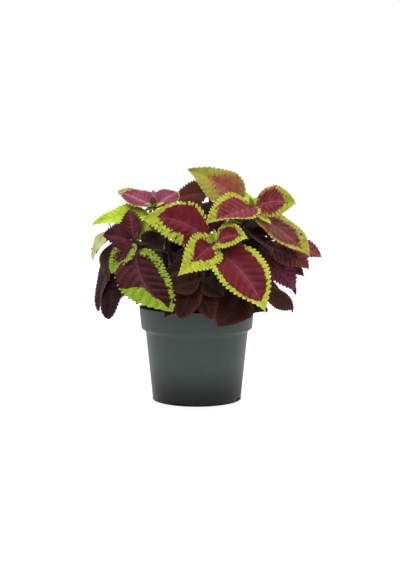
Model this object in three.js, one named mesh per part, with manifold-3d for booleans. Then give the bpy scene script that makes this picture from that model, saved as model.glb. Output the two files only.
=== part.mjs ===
// A bushy coleus, pinched and branched low, in a round plastic nursery pot full of potting mix.
// Millimetres, +Z up, origin at the middle of the pot's underside. The plant's best side looks to -Y.
import * as THREE from "three";
import { mergeVertices } from "three/addons/utils/BufferGeometryUtils.js";
import Module from "manifold-3d";

const wasm = await Module();
wasm.setup();

// The pot
const RIM_RADIUS = 65;
const POT_HEIGHT = 105;
const BASE_RADIUS = 50;
const BASE_CHAMFER = 1.5;
const COLLAR_FOOT_Z = 81;
const COLLAR_FOOT_RADIUS = 62.7;
const NECK_RADIUS = 57.9;
const NECK_Z = 77.6;
const RIM_ROUND = 0.4;
const WALL = 1.2;
const POT_SIDES = 40;
const DRAIN_COUNT = 4;
const DRAIN_START = 0.75; // in slot spacings round from +X
const DRAIN_WIDTH = 16;
const DRAIN_HEIGHT = 3.2;
const DRAIN_REACH = 9;
const DRAIN_SIDES = 12;

// The potting mix
const SOIL_TOP = 93;
const SOIL_BUMP = 1.2;
const SOIL_WAVE = 0.13;
const SOIL_RINGS = [0.72, 0.4];
const HOLE_DEPTH = 12;
const HOLE_SIDES = 6;
const FIT_GAP = 0.3;

// Stems, square in section as in all the mint family
const STEM_FOOT_RADIUS = 3.4;
const STEM_TOP_RADIUS = 1.9;
const STEM_STEPS = 6;
const STEM_KNEE = 0.55;

// Leaves: a stalk, then a blade with a rounded base, a drawn-out point and a toothed margin
const STALK_RADIUS = 1.15;
const STALK_END_RADIUS = 0.3;
const STALK_SUNK = 0.14;
const RIB_HALF = 0.65;
const RIB_STEPS = 6;
const COARSE_PITCH = 8;
const TOOTH_DEPTH = 2;
const TOOTH_LEAN = 0.3;
const DEEPEST_NOTCH = 0.25;
const FEWEST_TEETH = 3;
const LOBE_POWER = 0.55;
const CURL = 0.16;
const WAVE = 0.07;
const WAVES = 1.5;
const LEAF_SHAPE = { bow: 34, sway: 0, stalk: 0.16, fold: 0.3, taper: 1.05, toothPitch: 6 };
const WIDTH_SHARE = 0.62;

// How paired leaves hang and turn: low ones droop, and all of them turn to the outside, where the light is
const DROOP_LOW = -48;
const DROOP_HIGH = -8;
const TURN_OUT = 0.35;
const FACE_OUT = 0.6;

// The two smallest leaves, at the tip of each shoot
const BUD_LENGTH = 15;
const BUD_SHAPE = { width: 8, bow: 20, stalk: 0 };
const BUD_PITCH = 60;
const BUD_AT = 0.99;

// How leaves keep clear of one another, of the stems and of the pot
const LEAF_GAP = 2.4;
const STEM_ROOM = 4.5;
const JOINT_ROOM = 10;
const POT_CLEAR_RADIUS = 69;
const POT_CLEAR_Z = 109;
const LOWEST_LEAF_Z = 80;
const SAMPLE_ROWS = 12;
const SAMPLE_SIDES = [-1, -0.67, -0.33, 0, 0.33, 0.67, 1];
const STEM_SAMPLES = 40;
const LAST_SHARE = 0.97;
const BENDS = [0, 15, -15, 30, -30, 45, -45].flatMap((lifted) =>
  [0, 18, -18, 36, -36, 54, -54].map((turned) => [turned, lifted]),
);

// Surfaces that are closer than these distances are one
const MERGE_DISTANCE = 0.0001;
const SMALLEST_EDGE = 0.01;

const POT_FINISH = { color: 0x4d5550, roughness: 0.45 };
const SOIL_FINISH = { color: 0x1c1612, roughness: 0.95 };
const LEAF_ROUGHNESS = 0.6;
const AXIS_X = new THREE.Vector3(1, 0, 0);
const AXIS_Z = new THREE.Vector3(0, 0, 1);

const degrees = (angle) => (angle * Math.PI) / 180;

// One row for each leafy stem: where it leaves the soil, where its tip stands, the leaves that are placed
// one by one, and the opposite pairs that grow by rule. "at" is how far up the stem a leaf is joined,
// "face" is where its upper side looks, "bow" is how many degrees it arches through, "sway" is how far it
// bends sideways for its length, "stalk" is the bare share of its length, and a "taper" under 1 blunts
// its tip.
const SHOOTS = [
  {
    name: "front_shoot",
    colour: 0x8e2a35,
    foot: [10, -24],
    tip: [18, -50, 179],
    budHeading: 60,
    leaves: [
      {
        at: 0.97, tip: [-57, -50, 205], face: [-0.1, -1, 0.3],
        width: 49, bow: 25, sway: -0.13, stalk: 0.1, taper: 0.9,
      },
      {
        at: 0.94, tip: [71, -92, 110], face: [0.35, -1, 0.45],
        width: 62, bow: 25, sway: 0.06, stalk: 0.08, taper: 0.95,
      },
      {
        at: 1, tip: [-20, -92, 147], face: [0.35, -1, 0.4],
        width: 43, bow: 20, stalk: 0.04, fold: 0.5, taper: 1.25,
      },
      {
        at: 1, tip: [55, -64, 184], face: [0, -1, 0.8],
        width: 36, bow: 20, sway: 0.14, stalk: 0.06, taper: 1.1,
      },
    ],
    pairs: [
      { at: 0.7, heading: 30, length: 60 },
      { at: 0.45, heading: 110, length: 56 },
      { at: 0.3, heading: 20, length: 56 },
    ],
  },
  {
    name: "low_front_shoot",
    colour: 0x3a1d17,
    foot: [-1, -38],
    tip: [5, -58, 143],
    budHeading: 20,
    leaves: [
      {
        at: 1, tip: [-32, -66, 135], face: [0, -0.8, 0.6],
        width: 32, bow: 15, sway: 0.1, stalk: 0.08, taper: 0.6,
      },
      { at: 0.78, tip: [16, -81, 100], face: [0.1, -1, 0.3], width: 27, bow: 35, taper: 0.75 },
      { at: 0.9, tip: [-18, -79, 101], face: [-0.2, -1, 0.3], width: 28, bow: 35, taper: 0.6 },
      { at: 0.95, tip: [29, -71, 123], face: [0.1, -1, 0.4], width: 26, bow: 35, taper: 0.9 },
    ],
    pairs: [{ at: 0.6, heading: 0, length: 50 }],
  },
  {
    name: "low_right_shoot",
    colour: 0x42211a,
    foot: [20, -32],
    tip: [62, -38, 136],
    budHeading: 70,
    leaves: [
      { at: 0.8, tip: [22, -84, 93], face: [0, -1, 0.35], width: 41, bow: 35, sway: 0.1, taper: 0.75 },
      {
        at: 1, tip: [108, -22, 105], face: [0.3, -1, 0.4],
        width: 24, bow: 35, sway: -0.06, stalk: 0.25, taper: 0.85,
      },
      { at: 0.6, tip: [74, -56, 105], face: [0.4, -1, 0.3], width: 32, bow: 40 },
    ],
    pairs: [
      { at: 0.85, heading: 40, length: 48 },
      { at: 0.5, heading: 90, length: 46 },
    ],
  },
  {
    name: "left_shoot",
    colour: 0x4a1a1f,
    foot: [-26, -14],
    tip: [-70, -38, 180],
    budHeading: 30,
    leaves: [
      {
        at: 0.93, tip: [-26, -88, 109], face: [0.15, -1, 0.45],
        width: 57, bow: 25, sway: -0.15, stalk: 0.08, taper: 0.7,
      },
      {
        at: 1, tip: [-91, -60, 147], face: [-0.4, -1, 0.5],
        width: 28, bow: 15, stalk: 0.06, taper: 0.85,
      },
      {
        at: 1, tip: [-100, -58, 188], face: [-0.2, -1, 0.5],
        width: 34, bow: 20, stalk: 0.06, taper: 0.85,
      },
      { at: 0.98, tip: [-74, -15, 216], face: [0, -1, 0.3], width: 29, bow: 15, stalk: 0.08 },
      { at: 0.93, tip: [-36, -12, 183], face: [0.1, -0.9, 0.8], width: 30, bow: 25, taper: 0.8 },
    ],
    pairs: [
      { at: 0.6, heading: 60, length: 50 },
      { at: 0.45, heading: 100, length: 40 },
    ],
  },
  {
    name: "back_left_top_shoot",
    colour: 0x6b2a36,
    foot: [-22, 2],
    tip: [-49, 3, 218],
    budHeading: 80,
    leaves: [
      { at: 0.98, tip: [-90, 20, 234], face: [0, -0.5, 1], width: 38, bow: 20, stalk: 0.03, taper: 0.8 },
      { at: 0.98, tip: [-22, 25, 234], face: [0, -0.5, 1], width: 36, bow: 20, stalk: 0.03, taper: 0.8 },
      { at: 0.9, tip: [-115, -15, 198], face: [-0.1, -0.8, 1], width: 36, bow: 35 },
      { at: 0.9, tip: [-68, -20, 178], face: [0, -1, 0.5], width: 24, bow: 25 },
    ],
    pairs: [
      { at: 0.88, heading: 120, length: 60 },
      { at: 0.75, heading: 80, length: 62 },
      { at: 0.55, heading: 10, length: 60 },
      { at: 0.38, heading: 100, length: 60 },
    ],
  },
  {
    name: "low_left_shoot",
    colour: 0x3a121c,
    foot: [-38, -3],
    tip: [-96, -2, 191],
    budHeading: 10,
    leaves: [
      { at: 1, tip: [-116, -10, 158], face: [-1, -0.6, 0.5], width: 28, bow: 45, stalk: 0.08 },
      {
        at: 0.88, tip: [-109, -22, 102], face: [-1, -0.6, 0.3],
        width: 31, bow: 35, stalk: 0.12, taper: 0.75,
      },
      {
        at: 0.82, tip: [-97, -38, 95], face: [-0.5, -1, 0.1],
        width: 28, bow: 30, stalk: 0.35, taper: 0.55,
      },
    ],
    pairs: [
      { at: 0.93, heading: 120, length: 60 },
      { at: 0.7, heading: 160, length: 60 },
      { at: 0.5, heading: 120, length: 40 },
    ],
  },
  {
    name: "right_top_shoot",
    colour: 0xb5b24c,
    foot: [24, -3],
    tip: [64, -4, 217],
    budHeading: 50,
    leaves: [
      {
        at: 1, tip: [11, -44, 201], face: [0, -0.75, 1],
        width: 52, bow: 20, sway: 0.05, stalk: 0.04, fold: 0.5, taper: 0.95,
      },
      {
        at: 1, tip: [109, -25, 221], face: [0.1, -1, 0.35],
        width: 38, bow: 15, sway: 0.08, stalk: 0.06, taper: 0.8,
      },
      { at: 1, tip: [47, 12, 238], face: [0.5, -1, 0.3], width: 12, bow: 15, stalk: 0.06 },
      { at: 0.96, tip: [82, -27, 198], face: [0.5, -1, 0.6], width: 12, bow: 20, stalk: 0.1 },
      {
        at: 0.95, tip: [124, -30, 163], face: [0.45, -0.7, 0.9],
        width: 50, bow: 30, sway: -0.02, stalk: 0.1, taper: 0.85,
      },
      { at: 0.92, tip: [-10, 18, 259], face: [0.5, -1, 0.2], width: 47, bow: 30, sway: -0.06 },
    ],
    pairs: [
      { at: 0.75, heading: 70, length: 62 },
      { at: 0.55, heading: 10, length: 60 },
      { at: 0.38, heading: 100, length: 60 },
    ],
  },
  {
    name: "right_shoot",
    colour: 0x5c2430,
    foot: [36, 4],
    tip: [84, 8, 181],
    budHeading: 100,
    leaves: [
      { at: 1, tip: [142, 10, 160], face: [0.3, -0.7, 1], width: 36, bow: 20, taper: 0.7 },
      {
        at: 0.92, tip: [125, -16, 148], face: [0.3, -1, 0.9],
        width: 40, bow: 30, stalk: 0.1, taper: 0.85,
      },
      { at: 0.88, tip: [123, 12, 137], face: [0.3, -1, 0.9], width: 32, bow: 30 },
      { at: 0.85, tip: [110, -6, 124], face: [0.3, -1, 0.6], width: 36, bow: 30, taper: 0.8 },
      { at: 1, tip: [58, 18, 204], face: [0, -1, 0.4], width: 27, bow: 20, taper: 0.75 },
    ],
    pairs: [
      { at: 0.9, heading: 90, length: 60 },
      { at: 0.7, heading: 40, length: 60 },
      { at: 0.5, heading: 110, length: 56 },
    ],
  },
  {
    name: "back_top_shoot",
    colour: 0x5a2a2c,
    foot: [12, 16],
    tip: [16, 32, 232],
    budHeading: 0,
    leaves: [
      { at: 1, tip: [-27, 45, 226], face: [0, -1, 0.5], width: 34, bow: 40, stalk: 0.08 },
      { at: 0.97, tip: [12, 9, 186], face: [0, -1, 0.4], width: 29, bow: 25, taper: 0.8 },
    ],
    pairs: [
      { at: 0.97, heading: 80, length: 56 },
      { at: 0.88, heading: 200, length: 60 },
      { at: 0.78, heading: 90, length: 64 },
      { at: 0.6, heading: 20, length: 64 },
    ],
  },
  {
    name: "back_left_shoot",
    colour: 0x6e2c33,
    foot: [-28, 16],
    tip: [-58, 50, 203],
    budHeading: 40,
    leaves: [],
    pairs: [
      { at: 0.98, heading: 40, length: 50 },
      { at: 0.9, heading: 130, length: 76 },
      { at: 0.72, heading: 50, length: 76 },
      { at: 0.5, heading: 140, length: 64 },
    ],
  },
  {
    name: "back_right_shoot",
    colour: 0x7b3034,
    foot: [28, 18],
    tip: [62, 54, 209],
    budHeading: 120,
    leaves: [],
    pairs: [
      { at: 0.98, heading: 120, length: 50 },
      { at: 0.9, heading: 30, length: 76 },
      { at: 0.72, heading: 120, length: 76 },
      { at: 0.5, heading: 40, length: 64 },
    ],
  },
  {
    name: "low_back_shoot",
    colour: 0x4f2023,
    foot: [4, 32],
    tip: [2, 76, 169],
    budHeading: 70,
    leaves: [],
    pairs: [
      { at: 0.98, heading: 90, length: 56 },
      { at: 0.85, heading: 0, length: 70 },
      { at: 0.65, heading: 90, length: 64 },
    ],
  },
  {
    name: "low_back_left_shoot",
    colour: 0x4a1d24,
    foot: [-40, 22],
    tip: [-80, 46, 141],
    budHeading: 60,
    leaves: [],
    pairs: [
      { at: 0.98, heading: 150, length: 60 },
      { at: 0.8, heading: 60, length: 60 },
    ],
  },
  {
    name: "low_back_right_shoot",
    colour: 0x55222a,
    foot: [42, 22],
    tip: [84, 48, 143],
    budHeading: 120,
    leaves: [],
    pairs: [
      { at: 0.98, heading: 30, length: 52 },
      { at: 0.8, heading: 120, length: 60 },
    ],
  },
];

// The line of a stem above the soil: upright at first, then leaning out to its tip.
function stemLine(shoot) {
  const [footX, footY] = shoot.foot;
  const tip = new THREE.Vector3(...shoot.tip);
  const foot = new THREE.Vector3(footX, footY, SOIL_TOP);
  const knee = new THREE.Vector3(footX, footY, SOIL_TOP + STEM_KNEE * (tip.z - SOIL_TOP));
  return new THREE.QuadraticBezierCurve3(foot, knee, tip);
}

// A leaf lies along a circular arc from its joint on the stem to its tip. The bare stalk is the first share
// of the arc and the blade is the rest. "along" runs from 0 at the joint to 1 at the tip.
class Leaf {
  constructor(joint, tip, face, shape) {
    const { width, bow, sway, stalk, fold, taper, toothPitch } = { ...LEAF_SHAPE, ...shape };
    this.joint = joint;
    this.turn = degrees(bow);
    this.forward = tip.clone().sub(joint);
    this.radius = this.forward.length() / (2 * Math.sin(this.turn / 2));
    this.sway = sway * this.forward.length();
    this.forward.normalize();
    this.left = new THREE.Vector3().crossVectors(face, this.forward).normalize();
    this.up = new THREE.Vector3().crossVectors(this.forward, this.left);
    this.half = width / 2;
    this.taper = taper;
    this.stalk = stalk;
    this.fold = fold;
    this.length = this.radius * this.turn * (1 - stalk);
    this.teeth = Math.max(FEWEST_TEETH, Math.round(this.length / toothPitch));
    this.samples = this.samplePoints();
  }

  swayAt(along) {
    return this.sway * 4 * along * (1 - along);
  }

  // A point over the arc, with "side" measured to the left of the midrib and "lift" square to the blade.
  point(along, side, lift) {
    const angle = this.turn * (along - 0.5);
    const ahead = this.radius * (Math.sin(angle) + Math.sin(this.turn / 2)) + lift * Math.sin(angle);
    const above = this.radius * (Math.cos(angle) - Math.cos(this.turn / 2)) + lift * Math.cos(angle);
    const point = this.joint.clone().addScaledVector(this.forward, ahead);
    return point.addScaledVector(this.left, side + this.swayAt(along)).addScaledVector(this.up, above);
  }

  // Half the blade's width at a share of its length: a rounded base, and a point that a low taper blunts.
  halfWidth(share) {
    if (share <= 0 || share >= 1) return 0;
    const widest = LOBE_POWER / (LOBE_POWER + this.taper);
    return this.half * (share / widest) ** LOBE_POWER * ((1 - share) / (1 - widest)) ** this.taper;
  }

  // How far the blade stands off its arc: each half rises from the midrib and curls down again.
  rise(side) {
    const out = Math.abs(side);
    return this.fold * out - (CURL * out * out) / this.half;
  }

  bladePoint(share, side, lift = 0) {
    return this.point(this.stalk + (1 - this.stalk) * share, side, this.rise(side) + lift);
  }

  samplePoints() {
    const points = [this.point(this.stalk / 2, 0, 0)];
    for (let row = 0; row < SAMPLE_ROWS; row += 1) {
      const share = (row + 0.5) / SAMPLE_ROWS;
      for (const across of SAMPLE_SIDES) {
        points.push(this.bladePoint(share, across * this.halfWidth(share)));
      }
    }
    return points;
  }

  // True where a point lies over or under the blade and nearer to it than the gap.
  isNear(point, gap) {
    const from = point.clone().sub(this.joint);
    const ahead = from.dot(this.forward) - this.radius * Math.sin(this.turn / 2);
    const above = from.dot(this.up) + this.radius * Math.cos(this.turn / 2);
    const along = Math.atan2(ahead, above) / this.turn + 0.5;
    const side = from.dot(this.left) - this.swayAt(along);
    const share = (along - this.stalk) / (1 - this.stalk);
    if (share < 0 || share > 1 + gap / this.length) return false;
    if (Math.abs(side) > this.halfWidth(Math.min(share, LAST_SHARE)) + gap / 2) return false;
    return Math.abs(Math.hypot(ahead, above) - this.radius - this.rise(side)) < gap;
  }
}

// True where two leaves keep the gap. Near a joint that they share they may be close.
function areApart(one, other) {
  const farFrom = (joint) => (point) => point.distanceTo(joint) > JOINT_ROOM;
  const clearOf = (leaf) => (point) => !leaf.isNear(point, LEAF_GAP);
  if (!one.samples.filter(farFrom(other.joint)).every(clearOf(other))) return false;
  return other.samples.filter(farFrom(one.joint)).every(clearOf(one));
}

const TALLEST_STEM = Math.max(...SHOOTS.map(({ tip }) => tip[2]));
const stems = SHOOTS.map(stemLine);
const leaves = SHOOTS.map(() => []);

// True where a leaf keeps clear of every leaf so far, of every stem, and of the pot's rim and the soil.
function fits(leaf) {
  const strikesPot = ({ x, y, z }) => z < POT_CLEAR_Z && Math.hypot(x, y) < POT_CLEAR_RADIUS;
  if (leaf.samples.some((point) => strikesPot(point) || point.z < LOWEST_LEAF_Z)) return false;
  const strikesStem = (point) => point.distanceTo(leaf.joint) > JOINT_ROOM && leaf.isNear(point, STEM_ROOM);
  if (stems.some((line) => line.getPoints(STEM_SAMPLES).some(strikesStem))) return false;
  return leaves.flat().every((other) => areApart(leaf, other));
}

// A direction from its heading in plan and its pitch over level.
function direction(heading, pitch) {
  const level = Math.cos(degrees(pitch));
  const [x, y] = [level * Math.cos(degrees(heading)), level * Math.sin(degrees(heading))];
  return new THREE.Vector3(x, y, Math.sin(degrees(pitch)));
}

// Bends a leaf a little farther each time from where it would grow, until it is clear. Where nothing is
// clear, as deep in the bush, the leaf has been shed.
function growClear(joint, heading, pitch, length, face) {
  for (const [turned, lifted] of BENDS) {
    const tip = joint.clone().addScaledVector(direction(heading + turned, pitch + lifted), length);
    const leaf = new Leaf(joint, tip, face, { width: length * WIDTH_SHARE, toothPitch: COARSE_PITCH });
    if (fits(leaf)) return [leaf];
  }
  return [];
}

SHOOTS.forEach((shoot, index) => {
  for (const { at, tip, face, ...shape } of shoot.leaves) {
    const joint = stems[index].getPoint(at);
    leaves[index].push(new Leaf(joint, new THREE.Vector3(...tip), new THREE.Vector3(...face), shape));
  }
  const joint = stems[index].getPoint(BUD_AT);
  for (const heading of [shoot.budHeading, shoot.budHeading + 180]) {
    const tip = joint.clone().addScaledVector(direction(heading, BUD_PITCH), BUD_LENGTH);
    const face = direction(heading + 180, 90 - BUD_PITCH);
    leaves[index].push(new Leaf(joint, tip, face, BUD_SHAPE));
  }
});

SHOOTS.forEach((shoot, index) => {
  const { v0: foot, v2: tip } = stems[index];
  const outside = THREE.MathUtils.radToDeg(Math.atan2(tip.y - foot.y, tip.x - foot.x));
  const face = direction(outside, 0).multiplyScalar(FACE_OUT).add(AXIS_Z);
  for (const { at, heading, length } of shoot.pairs) {
    const joint = stems[index].getPoint(at);
    const height = (joint.z - POT_HEIGHT) / (TALLEST_STEM - POT_HEIGHT);
    for (const side of [heading, heading + 180]) {
      const away = THREE.MathUtils.euclideanModulo(outside - side + 180, 360) - 180;
      const pitch = THREE.MathUtils.lerp(DROOP_LOW, DROOP_HIGH, height);
      leaves[index].push(...growClear(joint, side + TURN_OUT * away, pitch, length, face));
    }
  }
});

// Makes a solid of vertices and triangles.
function solidOf(vertices, triangles) {
  const vertProperties = Float32Array.from(vertices.flatMap((vertex) => vertex.toArray()));
  const triVerts = Uint32Array.from(triangles.flat());
  return new wasm.Manifold(new wasm.Mesh({ numProp: 3, vertProperties, triVerts }));
}

// Makes a solid of a closed geometry.
function solidOfGeometry(geometry) {
  geometry.deleteAttribute("normal");
  geometry.deleteAttribute("uv");
  const { attributes, index } = mergeVertices(geometry, MERGE_DISTANCE);
  const vertices = [];
  for (let i = 0; i < attributes.position.count; i += 1) {
    vertices.push(new THREE.Vector3().fromBufferAttribute(attributes.position, i));
  }
  const triangles = [];
  for (let i = 0; i < index.count; i += 3) {
    const corners = [index.getX(i), index.getX(i + 1), index.getX(i + 2)];
    if (new Set(corners).size === 3) triangles.push(corners);
  }
  return solidOf(vertices, triangles);
}

// Skins a row of rings, each with its centre, its two axes and its radius, and closes both ends.
function loft(rings, sides) {
  const vertices = rings.flatMap(({ centre, across, over, radius }) =>
    Array.from({ length: sides }, (_, side) => {
      const angle = (2 * Math.PI * side) / sides;
      const point = centre.clone().addScaledVector(across, radius * Math.cos(angle));
      return point.addScaledVector(over, radius * Math.sin(angle));
    }),
  );
  const triangles = [];
  const last = (rings.length - 1) * sides;
  for (let side = 0; side < sides; side += 1) {
    const next = (side + 1) % sides;
    for (let ring = 0; ring < last; ring += sides) {
      triangles.push([ring + side, ring + next, ring + sides + next]);
      triangles.push([ring + side, ring + sides + next, ring + sides + side]);
    }
    if (side > 0 && next > 0) {
      triangles.push([0, next, side]);
      triangles.push([last, last + side, last + next]);
    }
  }
  return solidOf(vertices, triangles);
}

// A square stem, upright in its hole in the soil and then along its line.
function stemSolid(shoot, line) {
  const ring = (centre, tangent, radius) => {
    const over = new THREE.Vector3().crossVectors(tangent, AXIS_X).normalize();
    return { centre, over, across: new THREE.Vector3().crossVectors(over, tangent), radius };
  };
  const [footX, footY] = shoot.foot;
  const foot = new THREE.Vector3(footX, footY, SOIL_TOP - HOLE_DEPTH + FIT_GAP);
  const rings = [ring(foot, AXIS_Z, STEM_FOOT_RADIUS)];
  for (let step = 0; step <= STEM_STEPS; step += 1) {
    const along = step / STEM_STEPS;
    const radius = THREE.MathUtils.lerp(STEM_FOOT_RADIUS, STEM_TOP_RADIUS, along);
    rings.push(ring(line.getPoint(along), line.getTangent(along), radius));
  }
  return loft(rings, 4);
}

// A leaf's bare stalk, from the middle of the stem to a point sunk in the blade.
function stalkSolid(leaf) {
  const end = leaf.stalk + STALK_SUNK * (1 - leaf.stalk);
  const radii = [STALK_RADIUS, STALK_RADIUS, STALK_END_RADIUS];
  const rings = [0, leaf.stalk, end].map((along, index) => {
    const centre = leaf.point(along, 0, 0);
    const over = leaf.point(along, 0, 1).sub(centre);
    return { centre, across: leaf.left, over, radius: radii[index] };
  });
  return loft(rings, 3);
}

// One side of a blade's margin, from base to point: a tooth's tip, then the notch after it, and so on.
function marginPoints(leaf, side) {
  const points = [];
  for (let step = 1; step < 2 * leaf.teeth; step += 1) {
    const isNotch = step % 2 === 0;
    const share = (step + (isNotch ? 0 : TOOTH_LEAN)) / (2 * leaf.teeth);
    const full = leaf.halfWidth(share);
    const out = isNotch ? full - Math.min(TOOTH_DEPTH, DEEPEST_NOTCH * full) : full;
    const wave = WAVE * leaf.half * Math.sin(2 * Math.PI * WAVES * share + side);
    points.push({ share, point: leaf.bladePoint(share, side * out, wave) });
  }
  return points;
}

// A blade is thick along its midrib and thin at its margin. Its upper and lower faces are split alike.
function bladeSolid(leaf) {
  const vertices = [leaf.bladePoint(0, 0), leaf.bladePoint(1, 0)];
  const ribShares = [];
  for (let step = 1; step < RIB_STEPS; step += 1) {
    ribShares.push(step / RIB_STEPS);
    vertices.push(leaf.bladePoint(step / RIB_STEPS, 0, RIB_HALF));
    vertices.push(leaf.bladePoint(step / RIB_STEPS, 0, -RIB_HALF));
  }
  const triangles = [];
  for (const side of [1, -1]) {
    const margin = marginPoints(leaf, side);
    const firstOfMargin = vertices.length;
    vertices.push(...margin.map(({ point }) => point));
    const push = (upper, rib, second, third) => {
      const isLeft = side > 0;
      triangles.push(upper === isLeft ? [rib, second, third] : [rib, third, second]);
    };
    for (const upper of [true, false]) {
      const ribVertex = (row) => 2 + 2 * row + (upper ? 0 : 1);
      const marginVertex = (row) => firstOfMargin + row;
      push(upper, 0, ribVertex(0), marginVertex(0));
      let rib = 0;
      for (let row = 0; row + 1 < margin.length; row += 1) {
        const middle = (margin[row].share + margin[row + 1].share) / 2;
        while (rib + 1 < ribShares.length && (ribShares[rib] + ribShares[rib + 1]) / 2 < middle) {
          push(upper, ribVertex(rib), ribVertex(rib + 1), marginVertex(row));
          rib += 1;
        }
        push(upper, ribVertex(rib), marginVertex(row + 1), marginVertex(row));
      }
      while (rib + 1 < ribShares.length) {
        push(upper, ribVertex(rib), ribVertex(rib + 1), marginVertex(margin.length - 1));
        rib += 1;
      }
      push(upper, ribVertex(rib), 1, marginVertex(margin.length - 1));
    }
  }
  return solidOf(vertices, triangles);
}

function shootSolid(shoot, index) {
  const stalked = leaves[index].filter(({ stalk }) => stalk > 0);
  const stem = stemSolid(shoot, stems[index]);
  const pieces = [stem, ...stalked.map(stalkSolid), ...leaves[index].map(bladeSolid)];
  return wasm.Manifold.union(pieces).simplify(SMALLEST_EDGE);
}

// Turns a profile of [radius, height] rows around the pot's axis.
function turned(profile) {
  const points = profile.map(([radius, height]) => new THREE.Vector2(radius, height));
  return new THREE.LatheGeometry(points, POT_SIDES).rotateX(Math.PI / 2);
}

// A thin tapered pot with a deeper collar round its rim, and arched drain slots where wall and floor meet.
function potSolid() {
  const pot = solidOfGeometry(
    turned([
      [0, 0],
      [BASE_RADIUS - BASE_CHAMFER, 0],
      [BASE_RADIUS, BASE_CHAMFER],
      [NECK_RADIUS, NECK_Z],
      [COLLAR_FOOT_RADIUS, COLLAR_FOOT_Z],
      [RIM_RADIUS, POT_HEIGHT - RIM_ROUND],
      [RIM_RADIUS - RIM_ROUND, POT_HEIGHT],
      [RIM_RADIUS - WALL, POT_HEIGHT],
      ...innerWall(0).reverse(),
      [0, WALL],
    ]),
  );
  const slots = Array.from({ length: DRAIN_COUNT }, (_, index) => {
    const slot = new THREE.CylinderGeometry(DRAIN_WIDTH / 2, DRAIN_WIDTH / 2, DRAIN_REACH, DRAIN_SIDES);
    slot.rotateZ(Math.PI / 2).scale(1, 1, (2 * DRAIN_HEIGHT) / DRAIN_WIDTH);
    slot.translate(BASE_RADIUS, 0, 0);
    return solidOfGeometry(slot.rotateZ((2 * Math.PI * (index + DRAIN_START)) / DRAIN_COUNT));
  });
  return pot.subtract(wasm.Manifold.union(slots));
}

// The pot's inner wall from the floor up, or a line that keeps a gap to it.
function innerWall(gap) {
  return [
    [BASE_RADIUS - WALL - gap, WALL + gap],
    [NECK_RADIUS - WALL - gap, NECK_Z + WALL / 2 + gap],
    [COLLAR_FOOT_RADIUS - WALL - gap, COLLAR_FOOT_Z + WALL / 2 + gap],
  ];
}

// The potting mix fills the pot to below its rim. Its top is uneven, with a plain hole for each stem.
function soilSolid() {
  const slope = (RIM_RADIUS - COLLAR_FOOT_RADIUS) / (POT_HEIGHT - COLLAR_FOOT_Z);
  const edge = COLLAR_FOOT_RADIUS - WALL - FIT_GAP + slope * (SOIL_TOP - COLLAR_FOOT_Z - WALL / 2);
  const top = [1, ...SOIL_RINGS, 0].map((share) => [edge * share, SOIL_TOP]);
  const soil = turned([[0, WALL + FIT_GAP], ...innerWall(FIT_GAP), ...top]);
  const { position } = soil.attributes;
  for (let i = 0; i < position.count; i += 1) {
    if (position.getZ(i) < SOIL_TOP) continue;
    const bump = Math.sin(SOIL_WAVE * position.getX(i)) * Math.cos(SOIL_WAVE * position.getY(i) + 1);
    position.setZ(i, SOIL_TOP + SOIL_BUMP * bump);
  }
  const radius = (STEM_FOOT_RADIUS + FIT_GAP) / Math.cos(Math.PI / HOLE_SIDES);
  const holes = SHOOTS.map(({ foot: [footX, footY] }) => {
    const hole = new THREE.CylinderGeometry(radius, radius, 2 * HOLE_DEPTH, HOLE_SIDES);
    hole.rotateX(Math.PI / 2).rotateZ(Math.PI / HOLE_SIDES);
    return solidOfGeometry(hole.translate(footX, footY, SOIL_TOP));
  });
  return solidOfGeometry(soil).subtract(wasm.Manifold.union(holes));
}

// Turns a solid into a named mesh.
function meshOf(name, solid, finish) {
  const { vertProperties, triVerts } = solid.getMesh();
  const geometry = new THREE.BufferGeometry();
  geometry.setAttribute("position", new THREE.BufferAttribute(Float32Array.from(vertProperties), 3));
  geometry.setIndex(new THREE.BufferAttribute(Uint32Array.from(triVerts), 1));
  const mesh = new THREE.Mesh(geometry, new THREE.MeshStandardMaterial(finish));
  mesh.name = name;
  return mesh;
}

const coleus = new THREE.Group();
coleus.add(meshOf("nursery_pot", potSolid(), POT_FINISH));
coleus.add(meshOf("potting_mix", soilSolid(), SOIL_FINISH));
SHOOTS.forEach((shoot, index) => {
  const finish = { color: shoot.colour, roughness: LEAF_ROUGHNESS };
  coleus.add(meshOf(shoot.name, shootSolid(shoot, index), finish));
});

export default coleus;
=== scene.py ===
import math

import bpy
import mathutils
import numpy as np
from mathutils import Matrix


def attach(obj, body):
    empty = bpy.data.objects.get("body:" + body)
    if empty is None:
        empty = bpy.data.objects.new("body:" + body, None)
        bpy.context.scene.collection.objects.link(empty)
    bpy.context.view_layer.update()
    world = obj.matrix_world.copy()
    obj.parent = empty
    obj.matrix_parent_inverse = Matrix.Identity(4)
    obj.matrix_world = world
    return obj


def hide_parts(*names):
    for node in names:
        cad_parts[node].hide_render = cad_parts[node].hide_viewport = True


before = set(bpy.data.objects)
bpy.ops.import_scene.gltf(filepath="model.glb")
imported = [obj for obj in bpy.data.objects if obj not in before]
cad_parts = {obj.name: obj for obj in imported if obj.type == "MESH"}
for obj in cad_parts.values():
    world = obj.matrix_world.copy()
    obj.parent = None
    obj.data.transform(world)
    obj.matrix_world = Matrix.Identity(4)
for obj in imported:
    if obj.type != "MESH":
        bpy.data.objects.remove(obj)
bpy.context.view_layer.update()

MM = 0.001


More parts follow.
